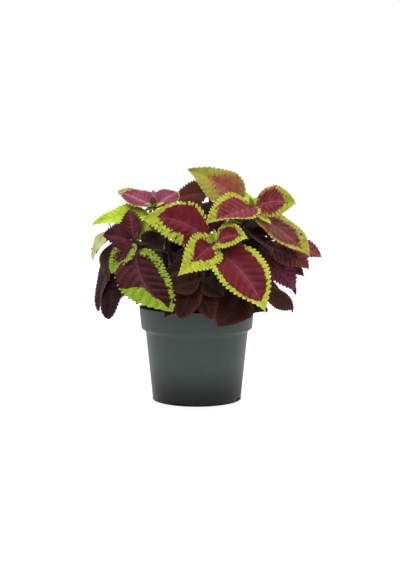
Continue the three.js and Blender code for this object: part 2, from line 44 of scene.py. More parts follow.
# The nursery pot
# A thin round pot, injection moulded in one shot from dark grey-green polypropylene. Its deep collar keeps
# stacked pots apart, and water leaves by four arched slots where the wall meets the floor.
RIM_RADIUS = 65
POT_HEIGHT = 105
BASE_RADIUS = 50
COLLAR_FOOT_Z = 81
COLLAR_FOOT_RADIUS = 62.7
NECK_RADIUS = 57.9
NECK_Z = 77.6
WALL = 1.2
FOOT_FILLET = 1.5
NECK_FILLET = 4
COLLAR_FILLET = 1.8
LIP_FILLETS = (0.4, 0.35)
INSIDE_FILLET = 2
POT_SIDES = 144
FILLET_STEPS = 5
DRAIN_COUNT = 4
DRAIN_START = 0.75  # in slot spacings round from +X
DRAIN_WIDTH = 16
DRAIN_HEIGHT = 3.2
DRAIN_REACH = 9
EDGE_OVER_DRAIN = 0.4


class Value:
    """One output socket of a node. Arithmetic on it adds Math nodes to its tree."""

    def __init__(self, graph, socket):
        self.graph = graph
        self.socket = socket

    def maths(self, operation, *others):
        return self.graph.maths(operation, self, *others)

    def __add__(self, other):
        return self.maths("ADD", other)

    def __sub__(self, other):
        return self.maths("SUBTRACT", other)

    def __mul__(self, other):
        return self.maths("MULTIPLY", other)

    def __truediv__(self, other):
        return self.maths("DIVIDE", other)

    def __pow__(self, other):
        return self.maths("POWER", other)

    def __rsub__(self, other):
        return self.graph.maths("SUBTRACT", other, self)

    def __abs__(self):
        return self.maths("ABSOLUTE")

    __radd__ = __add__
    __rmul__ = __mul__


class Graph:
    """A node tree that is being built."""

    def __init__(self, tree):
        self.tree = tree

    def add(self, kind, inputs=None, output=0, **settings):
        """Adds a node, with a value, a link or a list of links for each input, and its settings by name."""
        node = self.tree.nodes.new(kind)
        for name, setting in settings.items():
            setattr(node, name, setting)
        for key, entry in (inputs or {}).items():
            for item in entry if isinstance(entry, list) else [entry]:
                if isinstance(item, Value):
                    self.tree.links.new(item.socket, node.inputs[key])
                else:
                    node.inputs[key].default_value = item
        return Value(self, node.outputs[output]) if node.outputs else None

    def maths(self, operation, *values):
        return self.add("ShaderNodeMath", dict(enumerate(values)), operation=operation)

    def vector(self, operation, *values):
        return self.add("ShaderNodeVectorMath", dict(enumerate(values)), operation=operation)

    def scaled(self, vector, length):
        return self.add("ShaderNodeVectorMath", {0: vector, "Scale": length}, operation="SCALE")

    def length(self, vector):
        return self.add("ShaderNodeVectorMath", {0: vector}, 1, operation="LENGTH")

    def xyz(self, x=0.0, y=0.0, z=0.0):
        return self.add("ShaderNodeCombineXYZ", {"X": x, "Y": y, "Z": z})

    def axis(self, vector, number):
        """One of the three numbers of a vector."""
        return self.add("ShaderNodeSeparateXYZ", {0: vector}, number)

    def realized(self, geometry):
        return self.add("GeometryNodeRealizeInstances", {"Geometry": geometry})

    def moved(self, geometry, **to):
        """The points of a geometry, moved to a Position or by an Offset."""
        return self.add("GeometryNodeSetPosition", {"Geometry": geometry, **to})

    def noise(self, vector, scale, detail=2.0, output=0, **more):
        inputs = {"Vector": vector, "Scale": scale, "Detail": detail, **more}
        return self.add("ShaderNodeTexNoise", inputs, output)

    def step(self, value, low, high):
        """0 below low and 1 above high, with a smooth step between them."""
        ends = {"Value": value, "From Min": low, "From Max": high}
        return self.add("ShaderNodeMapRange", ends, interpolation_type="SMOOTHSTEP")

    def mix(self, factor, first, second, how="MIX"):
        inputs = {0: factor, 6: first, 7: second}
        return self.add("ShaderNodeMix", inputs, 2, data_type="RGBA", blend_type=how)

    def carried(self, name, output=2):
        """A value that the mesh carries to its shader. Output 0 is a colour and output 2 a number."""
        return self.add("ShaderNodeAttribute", output=output, attribute_name=name)

    def bump(self, height, strength, distance):
        return self.add("ShaderNodeBump", {"Strength": strength, "Distance": distance, "Height": height})


def colour(code):
    """The linear colour of an sRGB hex code."""
    shares = [int(code[at : at + 2], 16) / 255 for at in (0, 2, 4)]
    linear = [s / 12.92 if s <= 0.04045 else ((s + 0.055) / 1.055) ** 2.4 for s in shares]
    return (*linear, 1)


def cleared(owner):
    """The graph of a material or a world, without its nodes."""
    owner.use_nodes = True
    owner.node_tree.nodes.clear()
    return Graph(owner.node_tree)


def new_material(name):
    """A material, and the graph to build its shader with."""
    material = bpy.data.materials.new(name)
    return material, cleared(material)


def finish_material(graph, sockets):
    """Ends a graph in one Principled shader."""
    shader = graph.add("ShaderNodeBsdfPrincipled", sockets)
    graph.add("ShaderNodeOutputMaterial", {"Surface": shader})


def new_tree(name, numbers):
    """A geometry tree that takes a mesh, a material and some named numbers, and the nodes for them."""
    tree = bpy.data.node_groups.new(name, "GeometryNodeTree")
    kinds = {"Geometry": "Geometry", "Material": "Material"}
    for label, number in numbers.items():
        kinds[label] = "Int" if isinstance(number, int) else "Float"
    for label, kind in kinds.items():
        tree.interface.new_socket(label, in_out="INPUT", socket_type="NodeSocket" + kind)
    tree.interface.new_socket("Geometry", in_out="OUTPUT", socket_type="NodeSocketGeometry")
    graph = Graph(tree)
    entry = tree.nodes.new("NodeGroupInput")
    return graph, {socket.name: Value(graph, socket) for socket in entry.outputs if socket.name}


def finish_tree(graph, geometry, material):
    """Ends a geometry tree in Realize Instances and Set Material."""
    painted = {"Geometry": graph.realized(geometry), "Material": material}
    graph.add("NodeGroupOutput", {"Geometry": graph.add("GeometryNodeSetMaterial", painted)})


def in_scene(name, contents):
    """A new object in the scene."""
    thing = bpy.data.objects.new(name, contents)
    bpy.context.scene.collection.objects.link(thing)
    return thing


def grown_mesh(name, start, graph, material, numbers):
    """Runs a geometry tree on a mesh, and gives its result as a plain object."""
    source = in_scene(name, start)
    modifier = source.modifiers.new("grow", "NODES")
    modifier.node_group = graph.tree
    entries = {**numbers, "Material": material}
    for socket in graph.tree.interface.items_tree:
        if socket.in_out == "INPUT" and socket.name in entries:
            modifier[socket.identifier] = entries[socket.name]
    bpy.context.view_layer.update()
    evaluated = source.evaluated_get(bpy.context.evaluated_depsgraph_get())
    mesh = bpy.data.meshes.new_from_object(evaluated)
    bpy.data.objects.remove(source)
    return placed(name, mesh, material)


def placed(name, mesh, material):
    """Puts a finished mesh in the scene as one object with one material."""
    mesh.name = name
    mesh.materials.clear()
    mesh.materials.append(material)
    return in_scene(name, mesh)


def rounded(corners):
    """The outline through corners of (radius, height, fillet), with an arc for each fillet."""
    outline = []
    for index, (radius, height, fillet) in enumerate(corners):
        corner = np.array([radius, height], float)
        if not fillet:
            outline.append(corner)
            continue
        before = np.array(corners[index - 1][:2]) - corner
        after = np.array(corners[index + 1][:2]) - corner
        before /= np.linalg.norm(before)
        after /= np.linalg.norm(after)
        half = math.acos(np.clip(before @ after, -1, 1)) / 2
        inward = (before + after) / np.linalg.norm(before + after)
        centre = corner + inward * fillet / math.sin(half)
        spokes = [corner + way * fillet / math.tan(half) - centre for way in (before, after)]
        sweep = math.pi - 2 * half
        for step in range(FILLET_STEPS + 1):
            part = step / FILLET_STEPS
            weights = [math.sin((1 - part) * sweep), math.sin(part * sweep)]
            outline.append(centre + (weights[0] * spokes[0] + weights[1] * spokes[1]) / math.sin(sweep))
    return outline


def lathe(name, outline, sides):
    """Turns an outline that starts and ends on the axis around it, as a closed mesh."""
    rings = outline[1:-1]
    angles = np.arange(sides) * 2 * math.pi / sides
    points = [(0, 0, outline[0][1])]
    for radius, height in rings:
        points += [(radius * math.cos(a), radius * math.sin(a), height) for a in angles]
    points.append((0, 0, outline[-1][1]))
    faces = []
    last = len(points) - 1
    for side in range(sides):
        beside = (side + 1) % sides
        faces.append((0, 1 + beside, 1 + side))
        faces.append((last, last - sides + side, last - sides + beside))
        for ring in range(len(rings) - 1):
            low = 1 + ring * sides
            faces.append((low + side, low + beside, low + sides + beside, low + sides + side))
    mesh = bpy.data.meshes.new(name)
    mesh.from_pydata([tuple(MM * c for c in point) for point in points], [], faces)
    mesh.update()
    return mesh


SLOT_TOP = DRAIN_HEIGHT + EDGE_OVER_DRAIN
pot_outline = rounded([
    (0, 0, 0),
    (BASE_RADIUS, 0, FOOT_FILLET),
    (BASE_RADIUS + (NECK_RADIUS - BASE_RADIUS) * SLOT_TOP / NECK_Z, SLOT_TOP, 0),
    (NECK_RADIUS, NECK_Z, NECK_FILLET),
    (COLLAR_FOOT_RADIUS, COLLAR_FOOT_Z, COLLAR_FILLET),
    (RIM_RADIUS, POT_HEIGHT, LIP_FILLETS[0]),
    (RIM_RADIUS - WALL, POT_HEIGHT, LIP_FILLETS[1]),
    (COLLAR_FOOT_RADIUS - WALL, COLLAR_FOOT_Z + WALL / 2, INSIDE_FILLET),
    (NECK_RADIUS - WALL, NECK_Z + WALL / 2, INSIDE_FILLET),
    (BASE_RADIUS - WALL, WALL, INSIDE_FILLET),
    (0, WALL, 0),
])
SLOT_SIZES = {
    "Count": DRAIN_COUNT,
    "Width": DRAIN_WIDTH * MM,
    "Height": DRAIN_HEIGHT * MM,
    "Reach": DRAIN_REACH * MM,
    "Circle": BASE_RADIUS * MM,
}

graph, given = new_tree("drain_slots", SLOT_SIZES)
bar = graph.add("GeometryNodeMeshCylinder", {"Vertices": 32, "Radius": 0.5, "Depth": given["Reach"]})
lying = graph.add("GeometryNodeTransform", {"Geometry": bar, "Rotation": (0, math.pi / 2, 0)})
arch = graph.xyz(1.0, given["Width"], given["Height"] * 2)
arched = graph.add("GeometryNodeTransform", {"Geometry": lying, "Scale": arch})
ring = graph.add("GeometryNodeMeshCircle", {"Vertices": given["Count"], "Radius": given["Circle"]})
heading = (graph.add("GeometryNodeInputIndex") + DRAIN_START) * 2 * math.pi / given["Count"]
spot = graph.xyz(heading.maths("COSINE") * given["Circle"], heading.maths("SINE") * given["Circle"])
cutters = {"Points": graph.moved(ring, Position=spot), "Instance": arched, "Rotation": graph.xyz(z=heading)}
cutters = graph.add("GeometryNodeInstanceOnPoints", cutters)
cut = {"Mesh 1": given["Geometry"], "Mesh 2": graph.realized(cutters)}
cut = graph.add("GeometryNodeMeshBoolean", cut, operation="DIFFERENCE", solver="EXACT")
finish_tree(graph, cut, given["Material"])

material, shader = new_material("moulded_polypropylene")
place = shader.add("ShaderNodeTexCoord", output=3)
cloud = shader.noise(place, 26.0, 4.0)
grain = shader.noise(place, 1400.0, 2.0)
flow = shader.noise(shader.vector("MULTIPLY", place, (90.0, 90.0, 6.0)), 1.0, 3.0)
wear = shader.step(cloud * 0.6 + flow * 0.4, 0.35, 0.7)
plastic = shader.mix(wear * 0.35, colour("3E4744"), colour("4A534F"))
# The wall darkens towards the foot, to near black at the very bottom: painted shade and a painted contact
# shadow.
painted_foot_shade = 1 - shader.step(shader.axis(place, 2), 0.001, 0.05)
plastic = shader.mix(painted_foot_shade, plastic, colour("050606"))
finish_material(shader, {
    "Base Color": plastic,
    "Roughness": 0.42 + wear * 0.1,
    "IOR": 1.36,
    "Normal": shader.bump(grain + flow * 2, 0.12, 0.0002),
})

pot = grown_mesh("moulded_pot", lathe("pot_blank", pot_outline, POT_SIDES), graph, material, SLOT_SIZES)
pot.data.shade_smooth()
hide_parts("nursery_pot")
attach(pot, "root")


# The potting mix
# Moist peat with a little bark and perlite, filled by hand to a finger's breadth under the rim. Its top is
# loose: crumbs of all sizes lie on an uneven bed, and a few white grains of perlite show.
SOIL_TOP = 93
SOIL_GAP = 0.3
SOIL_SIDES = 96
SOIL_RINGS = 18
CRUMB_MARGIN = 5
CRUMB_RADIUS = 1.9
CRUMBS_PER_SQUARE_METRE = 110000
BED_BUMPS = 3
CRUMB_SEED = 4

slope = (RIM_RADIUS - COLLAR_FOOT_RADIUS) / (POT_HEIGHT - COLLAR_FOOT_Z)
soil_edge = COLLAR_FOOT_RADIUS - WALL - SOIL_GAP + slope * (SOIL_TOP - COLLAR_FOOT_Z - WALL / 2)
soil_outline = [
    (0, WALL + SOIL_GAP),
    (BASE_RADIUS - WALL - SOIL_GAP, WALL + SOIL_GAP),
    (NECK_RADIUS - WALL - SOIL_GAP, NECK_Z + WALL / 2 + SOIL_GAP),
    (COLLAR_FOOT_RADIUS - WALL - SOIL_GAP, COLLAR_FOOT_Z + WALL / 2 + SOIL_GAP),
    *[(soil_edge * (1 - ring / SOIL_RINGS), SOIL_TOP) for ring in range(SOIL_RINGS)],
    (0, SOIL_TOP),
]
MIX_SIZES = {
    "Top": SOIL_TOP * MM,
    "Bumps": BED_BUMPS * MM,
    "Crumbs": CRUMBS_PER_SQUARE_METRE,
    "Crumb radius": CRUMB_RADIUS * MM,
    "Spread": (soil_edge - CRUMB_MARGIN) * MM,
    "Seed": CRUMB_SEED,
}

graph, given = new_tree("loose_mix", MIX_SIZES)


def drawn(low, high, salt):
    """A random number for each point, from the tree's seed."""
    inputs = {2: low, 3: high, "Seed": given["Seed"] + salt}
    return graph.add("FunctionNodeRandomValue", inputs, 1, data_type="FLOAT")


def with_attribute(geometry, name, value, domain="POINT"):
    """The geometry, which now carries a value under a name."""
    inputs = {"Geometry": geometry, "Name": name, "Value": value}
    return graph.add("GeometryNodeStoreNamedAttribute", inputs, data_type="FLOAT", domain=domain)


where = graph.add("GeometryNodeInputPosition")
on_top = graph.axis(where, 2).maths("GREATER_THAN", given["Top"] - 0.0005)
hills = graph.noise(where, 90.0, 3.0)
lifted = graph.xyz(z=(hills - 0.5) * given["Bumps"] * on_top)
bed = with_attribute(graph.moved(given["Geometry"], Offset=lifted), "kind", 0.3)
from_axis = graph.length(graph.vector("MULTIPLY", where, (1, 1, 0)))
where_crumbs_lie = on_top * from_axis.maths("LESS_THAN", given["Spread"])
scattered = {"Mesh": bed, "Selection": where_crumbs_lie, "Density": given["Crumbs"], "Seed": given["Seed"]}
scattered = graph.add("GeometryNodeDistributePointsOnFaces", scattered, distribute_method="RANDOM")
crumb = graph.add("GeometryNodeMeshIcoSphere", {"Radius": given["Crumb radius"], "Subdivisions": 1})
sizes = graph.xyz(drawn(0.5, 1.7, 1), drawn(0.5, 1.2, 2), drawn(0.4, 1.0, 3))
crumbs = graph.add("GeometryNodeInstanceOnPoints", {
    "Points": scattered,
    "Instance": crumb,
    "Rotation": graph.xyz(drawn(-0.5, 0.5, 4), drawn(-0.5, 0.5, 5), drawn(0.0, 6.3, 6)),
    "Scale": graph.scaled(sizes, drawn(0.4, 1.0, 7)),
})
crumbs = with_attribute(crumbs, "kind", drawn(0.0, 1.0, 8), "INSTANCE")
rough = graph.vector("SUBTRACT", graph.noise(where, 900.0, 1.0, 1), (0.5, 0.5, 0.5))
rough = graph.scaled(rough, given["Crumb radius"] * 0.9)
crumbs = graph.moved(graph.realized(crumbs), Offset=rough)
finish_tree(graph, graph.add("GeometryNodeJoinGeometry", {0: [bed, crumbs]}), given["Material"])

material, shader = new_material("moist_potting_mix")
place = shader.add("ShaderNodeTexCoord", output=3)
kind = shader.carried("kind")
peat = shader.noise(place, 420.0, 4.0)
earth = shader.mix(shader.step(peat, 0.3, 0.7), colour("120D0A"), colour("2E2219"))
earth = shader.mix(shader.step(kind, 0.72, 0.8), earth, colour("4B3524"))
perlite = shader.step(kind, 0.962, 0.966)
finish_material(shader, {
    "Base Color": shader.mix(perlite, earth, colour("C9C4B8")),
    "Roughness": 0.85 - peat * 0.25,
    "Normal": shader.bump(peat, 0.6, 0.0006),
})

mix = grown_mesh("peat_mix", lathe("mix_blank", soil_outline, SOIL_SIDES), graph, material, MIX_SIZES)
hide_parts("potting_mix")
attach(mix, "root")


# The fourteen leafy shoots
# One pinched plant branches low into soft shoots. Each bends out from its foot to the light and bears its
# leaves in opposite pairs. Those that show in front are placed one by one, and the rest grow by rule.
STEM_KNEE = 0.55
SHOOTS = {}


def one_leaf(at, tip, face, width, bow, look, **more):
    """A listed leaf, from the share of the stem that it grows at."""
    return dict(more, at=at, tip=tip, face=face, width=width, bow=bow, look=look)


def one_shoot(name, slot, foot, tip, buds, pairs, *placed_leaves, **more):
    """A shoot with the ends of its stem, its listed leaves and its grown pairs (share, heading, length)."""
    SHOOTS[name] = dict(more, slot=slot, foot=foot, tip=tip, buds=buds, pairs=pairs, leaves=placed_leaves)


one_shoot(
    "front_shoot", "foliage_crimson", (10, -24), (18, -50, 179), 60,
    [(0.7, 30, 60), (0.45, 110, 56), (0.3, 20, 56)],
    one_leaf(0.97, (-57, -50, 205), (-0.1, -1, 0.3), 49, 25, "crimson", sway=-0.13, stalk=0.1, taper=0.9,
        lime=6.2, lime_tip=14, lean=0.45, bare=0.2, bare_lean=0.12, tip_from=0.6, specks=0.8),
    one_leaf(0.94, (71, -92, 110), (0.35, -1, 0.45), 62, 25, "crimson", sway=0.06, stalk=0.08, taper=0.95,
        lime=5.4, lime_tip=9, lean=0.12, bare=0.17, tip_from=0.78, tip_span=0.2, specks=0.2, dim=0.3),
    one_leaf(1, (-20, -92, 147), (0.35, -1, 0.4), 43, 20, "crimson", stalk=0.04, fold=0.5, taper=1.25,
        lime=5.6, lime_tip=15, lean=0.1, tip_from=0.2, tip_span=0.8, specks=0.7),
    one_leaf(1, (55, -64, 184), (0, -1, 0.8), 36, 20, "crimson", sway=0.14, stalk=0.06, taper=1.1, lime=4.6,
        lime_tip=7, lean=-0.1, specks=0.4),
    buds_like="lime bud", shaded=True,
    apex=[(185, 50, 16, "lime bud"), (75, 62, 17, "red bud"), (20, 72, 13, "lime bud")],
)
one_shoot(
    "low_front_shoot", "foliage_maroon", (-1, -38), (5, -58, 143), 20, [(0.6, 0, 50)],
    one_leaf(1, (-32, -66, 135), (0, -0.8, 0.6), 32, 15, "umber", sway=0.1, stalk=0.08, taper=0.6,
        tooth=0.4),
    one_leaf(0.78, (16, -81, 100), (0.1, -1, 0.3), 27, 35, "umber", taper=0.75, tooth=0.4),
    one_leaf(0.9, (-18, -79, 101), (-0.2, -1, 0.3), 28, 35, "umber", taper=0.6, tooth=0.4),
    one_leaf(0.95, (29, -71, 123), (0.1, -1, 0.4), 26, 35, "dusk", taper=0.9, tooth=0.4),
    shaded=True,
)
one_shoot(
    "low_right_shoot", "foliage_maroon", (20, -32), (62, -38, 136), 70, [(0.85, 40, 48), (0.5, 90, 46)],
    one_leaf(0.8, (22, -84, 93), (0, -1, 0.35), 41, 35, "umber", sway=0.1, taper=0.75, tooth=0.5),
    one_leaf(1, (108, -22, 105), (0.3, -1, 0.4), 24, 35, "umber", sway=-0.06, stalk=0.25, taper=0.85,
        tooth=0.5),
    one_leaf(0.6, (74, -56, 105), (0.4, -1, 0.3), 32, 40, "dusk", tooth=0.4),
    shaded=True,
)
one_shoot(
    "left_shoot", "foliage_maroon", (-26, -14), (-70, -38, 180), 30, [(0.6, 60, 50), (0.45, 100, 40)],
    one_leaf(0.93, (-26, -88, 109), (0.15, -1, 0.45), 57, 25, "maroon", sway=-0.15, stalk=0.08, taper=0.7,
        lime=3.6, lime_tip=30, lean=0.8, tip_from=0.7, tip_span=0.14, skew=0.22, specks=0.7, pucker=1.5,
        dim=0.7),
    one_leaf(1, (-91, -60, 147), (-0.4, -1, 0.5), 28, 15, "maroon", stalk=0.06, taper=0.85, lime=6,
        lime_tip=12, lean=-0.1, specks=0.9),
    one_leaf(1, (-100, -58, 188), (-0.2, -1, 0.5), 34, 20, "wine", stalk=0.06, taper=0.85, tooth=1.2),
    one_leaf(0.98, (-74, -15, 216), (0, -1, 0.3), 29, 15, "wine", stalk=0.08, lime=1.4, lime_tip=1,
        lean=-0.9, tooth=1.2),
    one_leaf(0.93, (-36, -12, 183), (0.1, -0.9, 0.8), 30, 25, "dusk", taper=0.8, lime=1.3, lime_tip=3),
    buds_like="wine bud", shaded=True,
    apex=[(250, -58, 15, "pale bud"), (300, -62, 12, "pale bud"), (5, -12, 15, "dark bud")],
)
one_shoot(
    "back_left_top_shoot", "foliage_crimson", (-22, 2), (-49, 3, 218), 80,
    [(0.88, 120, 60), (0.75, 80, 62), (0.55, 10, 60), (0.38, 100, 60)],
    one_leaf(0.98, (-90, 20, 234), (0, -0.5, 1), 38, 20, "blush", stalk=0.03, taper=0.8, lime=1.8,
        lime_tip=10, tip_from=0.6, soft=1, specks=1, tooth=0.7, pucker=0.7),
    one_leaf(0.98, (-22, 25, 234), (0, -0.5, 1), 36, 20, "blush", stalk=0.03, taper=0.8, lime=0.9,
        lime_tip=1.5, soft=1, specks=0.6, tooth=0.7, pucker=0.7),
    one_leaf(0.9, (-115, -15, 198), (-0.1, -0.8, 1), 36, 35, "lime", lime=40, pucker=0.45),
    one_leaf(0.9, (-68, -20, 178), (0, -1, 0.5), 24, 25, "lime", lime=12, lime_tip=9, specks=1),
    buds_like="blush bud",
    apex=[
        (190, 10, 16, "lime bud"), (345, 20, 14, "lime bud"), (235, 25, 12, "lime bud"),
        (300, 30, 11, "lime bud"), (205, -25, 14, "lime bud"), (95, 55, 24, "blush bud"),
    ],
)
one_shoot(
    "low_left_shoot", "foliage_maroon", (-38, -3), (-96, -2, 191), 10,
    [(0.93, 120, 60), (0.7, 160, 60), (0.5, 120, 40)],
    one_leaf(1, (-116, -10, 158), (-1, -0.6, 0.5), 28, 45, "pale", stalk=0.08, lime=40, pucker=0.5),
    one_leaf(0.88, (-109, -22, 102), (-1, -0.6, 0.3), 31, 35, "plum", stalk=0.12, taper=0.75, lime=0.9,
        tooth=0.35),
    one_leaf(0.82, (-97, -38, 95), (-0.5, -1, 0.1), 28, 30, "plum", stalk=0.35, taper=0.55, lime=0.9,
        tooth=0.35),
    shaded=True,
)
one_shoot(
    "right_top_shoot", "foliage_lime", (24, -3), (64, -4, 217), 50,
    [(0.75, 70, 62), (0.55, 10, 60), (0.38, 100, 60)],
    one_leaf(1, (11, -44, 201), (0, -0.75, 1), 52, 20, "rose", sway=0.05, stalk=0.04, fold=0.5, taper=0.95,
        lime=4.4, lime_tip=6, lean=-0.3, soft=0.8, specks=0.5),
    one_leaf(1, (109, -25, 221), (0.1, -1, 0.35), 38, 15, "rose", sway=0.08, stalk=0.06, taper=0.8,
        lime=2.6, lime_tip=12, tip_from=0.4, tip_span=0.6, soft=4, specks=0.6, tooth=0.6),
    one_leaf(1, (47, 12, 238), (0.5, -1, 0.3), 12, 15, "lime", stalk=0.06, lime=40),
    one_leaf(0.96, (82, -27, 198), (0.5, -1, 0.6), 12, 20, "lime", stalk=0.1, lime=40),
    one_leaf(0.95, (124, -30, 163), (0.45, -0.7, 0.9), 50, 30, "ember", sway=-0.02, stalk=0.1, taper=0.85,
        lime=5, lime_tip=9, lean=0.5, soft=4, specks=0.8, tooth=0.6, pucker=0.7),
    one_leaf(0.92, (-10, 18, 259), (0.5, -1, 0.2), 47, 30, "copper", sway=-0.06, lime=6.5, lime_tip=15,
        lean=0.5, soft=13, specks=0.6, tooth=0.6, tip_from=0.3, tip_span=0.6, pucker=0.4),
    buds_like="lime bud", shaded=True,
)
one_shoot(
    "right_shoot", "foliage_crimson", (36, 4), (84, 8, 181), 100,
    [(0.9, 90, 60), (0.7, 40, 60), (0.5, 110, 56)],
    one_leaf(1, (142, 10, 160), (0.3, -0.7, 1), 36, 20, "russet", taper=0.7),
    one_leaf(0.92, (125, -16, 148), (0.3, -1, 0.9), 40, 30, "garnet", stalk=0.1, taper=0.85, lime=8,
        lime_tip=12, soft=12, lean=0.3),
    one_leaf(0.88, (123, 12, 137), (0.3, -1, 0.9), 32, 30, "umber", tooth=0.5),
    one_leaf(0.85, (110, -6, 124), (0.3, -1, 0.6), 36, 30, "mauve", taper=0.8, pucker=0.6),
    one_leaf(1, (58, 18, 204), (0, -1, 0.4), 27, 20, "umber", taper=0.75, tooth=0.5),
    shaded=True,
)
one_shoot(
    "back_top_shoot", "foliage_crimson", (12, 16), (16, 32, 232), 0,
    [(0.97, 80, 56), (0.88, 200, 60), (0.78, 90, 64), (0.6, 20, 64)],
    one_leaf(1, (-27, 45, 226), (0, -1, 0.5), 34, 40, "rust", stalk=0.08),
    one_leaf(0.97, (12, 9, 186), (0, -1, 0.4), 29, 25, "umber", taper=0.8, tooth=0.6),
)
one_shoot(
    "back_left_shoot", "foliage_crimson", (-28, 16), (-58, 50, 203), 40,
    [(0.98, 40, 50), (0.9, 130, 76), (0.72, 50, 76), (0.5, 140, 64)],
)
one_shoot(
    "back_right_shoot", "foliage_crimson", (28, 18), (62, 54, 209), 120,
    [(0.98, 120, 50), (0.9, 30, 76), (0.72, 120, 76), (0.5, 40, 64)],
)
one_shoot(
    "low_back_shoot", "foliage_maroon", (4, 32), (2, 76, 169), 70,
    [(0.98, 90, 56), (0.85, 0, 70), (0.65, 90, 64)],
)
one_shoot(
    "low_back_left_shoot", "foliage_maroon", (-40, 22), (-80, 46, 141), 60,
    [(0.98, 150, 60), (0.8, 60, 60)],
)
one_shoot(
    "low_back_right_shoot", "foliage_maroon", (42, 22), (84, 48, 143), 120,
    [(0.98, 30, 52), (0.8, 120, 60)],
)

LOBE_POWER = 0.55
CURL = 0.16
WIDTH_SHARE = 0.62
DROOP_LOW = -48
DROOP_HIGH = -8
TURN_OUT = 0.35
FACE_OUT = 0.6
BUD_AT = 0.99
BUD_LENGTH = 15
BUD_WIDTH = 8
BUD_PITCH = 60
BUD_FACE_PITCH = 30
YOUNG_BOW = 20
APEX_WIDTH_SHARE = 0.5
APEX_FACE = (0, -0.7, 1)
LEAF_GAP = 2.4
STEM_ROOM = 4.5
JOINT_ROOM = 10
POT_CLEAR_RADIUS = 69
POT_CLEAR_Z = 109
LOWEST_LEAF_Z = 80
SAMPLE_ROWS = 12
SAMPLE_SIDES = np.array([-1, -0.67, -0.33, 0, 0.33, 0.67, 1])
STEM_SAMPLES = 40
LAST_SHARE = 0.97
BENDS = [
    (turned, lifted)
    for lifted in (0, 15, -15, 30, -30, 45, -45)
    for turned in (0, 18, -18, 36, -36, 54, -54)
]


def on_stem(shoot, along):
    """The point at a share of a shoot's stem, which rises from its foot and bends to its tip."""
    tip = np.array(shoot["tip"], float)
    foot = np.array([*shoot["foot"], SOIL_TOP], float)
    knee = np.array([*shoot["foot"], SOIL_TOP + STEM_KNEE * (tip[2] - SOIL_TOP)], float)
    rest = 1 - along
    return rest * rest * foot + 2 * rest * along * knee + along * along * tip


def bearing(heading, pitch):
    """A direction from its heading in plan and its pitch over level."""
    heading, pitch = math.radians(heading), math.radians(pitch)
    level = math.cos(pitch)
    return np.array([level * math.cos(heading), level * math.sin(heading), math.sin(pitch)])


class Leaf:
    """One leaf, which lies along a circular arc from its joint on the stem to its tip."""

    def __init__(self, joint, tip, face, width, bow=34, sway=0, stalk=0.16, fold=0.3, taper=1.05):
        chord = np.array(tip, float) - joint
        reach = np.linalg.norm(chord)
        self.joint = joint
        self.turn = math.radians(bow)
        self.radius = reach / (2 * math.sin(self.turn / 2))
        self.sway = sway * reach
        self.forward = chord / reach
        left = np.cross(face, self.forward)
        self.left = left / np.linalg.norm(left)
        self.up = np.cross(self.forward, self.left)
        self.half = width / 2
        self.taper = taper
        self.widest = LOBE_POWER / (LOBE_POWER + taper)
        self.stalk = stalk
        self.fold = fold
        self.length = self.radius * self.turn * (1 - stalk)
        shares = (np.arange(SAMPLE_ROWS) + 0.5) / SAMPLE_ROWS
        sides = np.outer(self.half_width(shares), SAMPLE_SIDES).ravel()
        shares = np.repeat(shares, len(SAMPLE_SIDES))
        blade = self.point(stalk + (1 - stalk) * shares, sides, self.rise(sides))
        self.samples = np.vstack([self.point(stalk / 2, 0, 0), blade])
        self.middle = self.samples.mean(axis=0)
        self.spread = np.linalg.norm(self.samples - self.middle, axis=1).max()

    def point(self, along, side, lift):
        """A point over the arc, with side to the left of the midrib and lift square to the blade."""
        along = np.asarray(along)
        angle = self.turn * (along - 0.5)
        ahead = self.radius * (np.sin(angle) + math.sin(self.turn / 2)) + lift * np.sin(angle)
        above = self.radius * (np.cos(angle) - math.cos(self.turn / 2)) + lift * np.cos(angle)
        out = side + self.sway * 4 * along * (1 - along)
        frame_of_leaf = np.stack([self.forward, self.left, self.up])
        return self.joint + np.stack([ahead, out, above], axis=-1) @ frame_of_leaf

    def half_width(self, share):
        """Half the width at a share of the blade's length. A low taper blunts the point."""
        share = np.clip(share, 0, 1)
        past_widest = (1 - share) / (1 - self.widest)
        return self.half * (share / self.widest) ** LOBE_POWER * past_widest ** self.taper

    def rise(self, side):
        """How far the blade stands off its arc: each half rises from the midrib and curls down again."""
        return self.fold * np.abs(side) - CURL * side * side / self.half

    def near(self, points, gap):
        """True for each point that lies over or under the blade and nearer to it than the gap."""
        away = points - self.joint
        ahead = away @ self.forward - self.radius * math.sin(self.turn / 2)
        above = away @ self.up + self.radius * math.cos(self.turn / 2)
        along = np.arctan2(ahead, above) / self.turn + 0.5
        side = away @ self.left - self.sway * 4 * along * (1 - along)
        share = (along - self.stalk) / (1 - self.stalk)
        inside = (share >= 0) & (share <= 1 + gap / self.length)
        inside &= np.abs(side) <= self.half_width(np.minimum(share, LAST_SHARE)) + gap / 2
        return inside & (np.abs(np.hypot(ahead, above) - self.radius - self.rise(side)) < gap)


def far_from(points, joint):
    """The points that aren't close to a joint."""
    return points[np.linalg.norm(points - joint, axis=1) > JOINT_ROOM]


def apart(one, other):
    """True where two leaves keep the gap. Near a joint that they share they may be close."""
    if np.linalg.norm(one.middle - other.middle) > one.spread + other.spread + 2 * JOINT_ROOM:
        return True
    if one.near(far_from(other.samples, one.joint), LEAF_GAP).any():
        return False
    return not other.near(far_from(one.samples, other.joint), LEAF_GAP).any()


stem_points = np.array(
    [on_stem(shoot, step / STEM_SAMPLES) for shoot in SHOOTS.values() for step in range(STEM_SAMPLES + 1)]
)
leaves = {name: [] for name in SHOOTS}


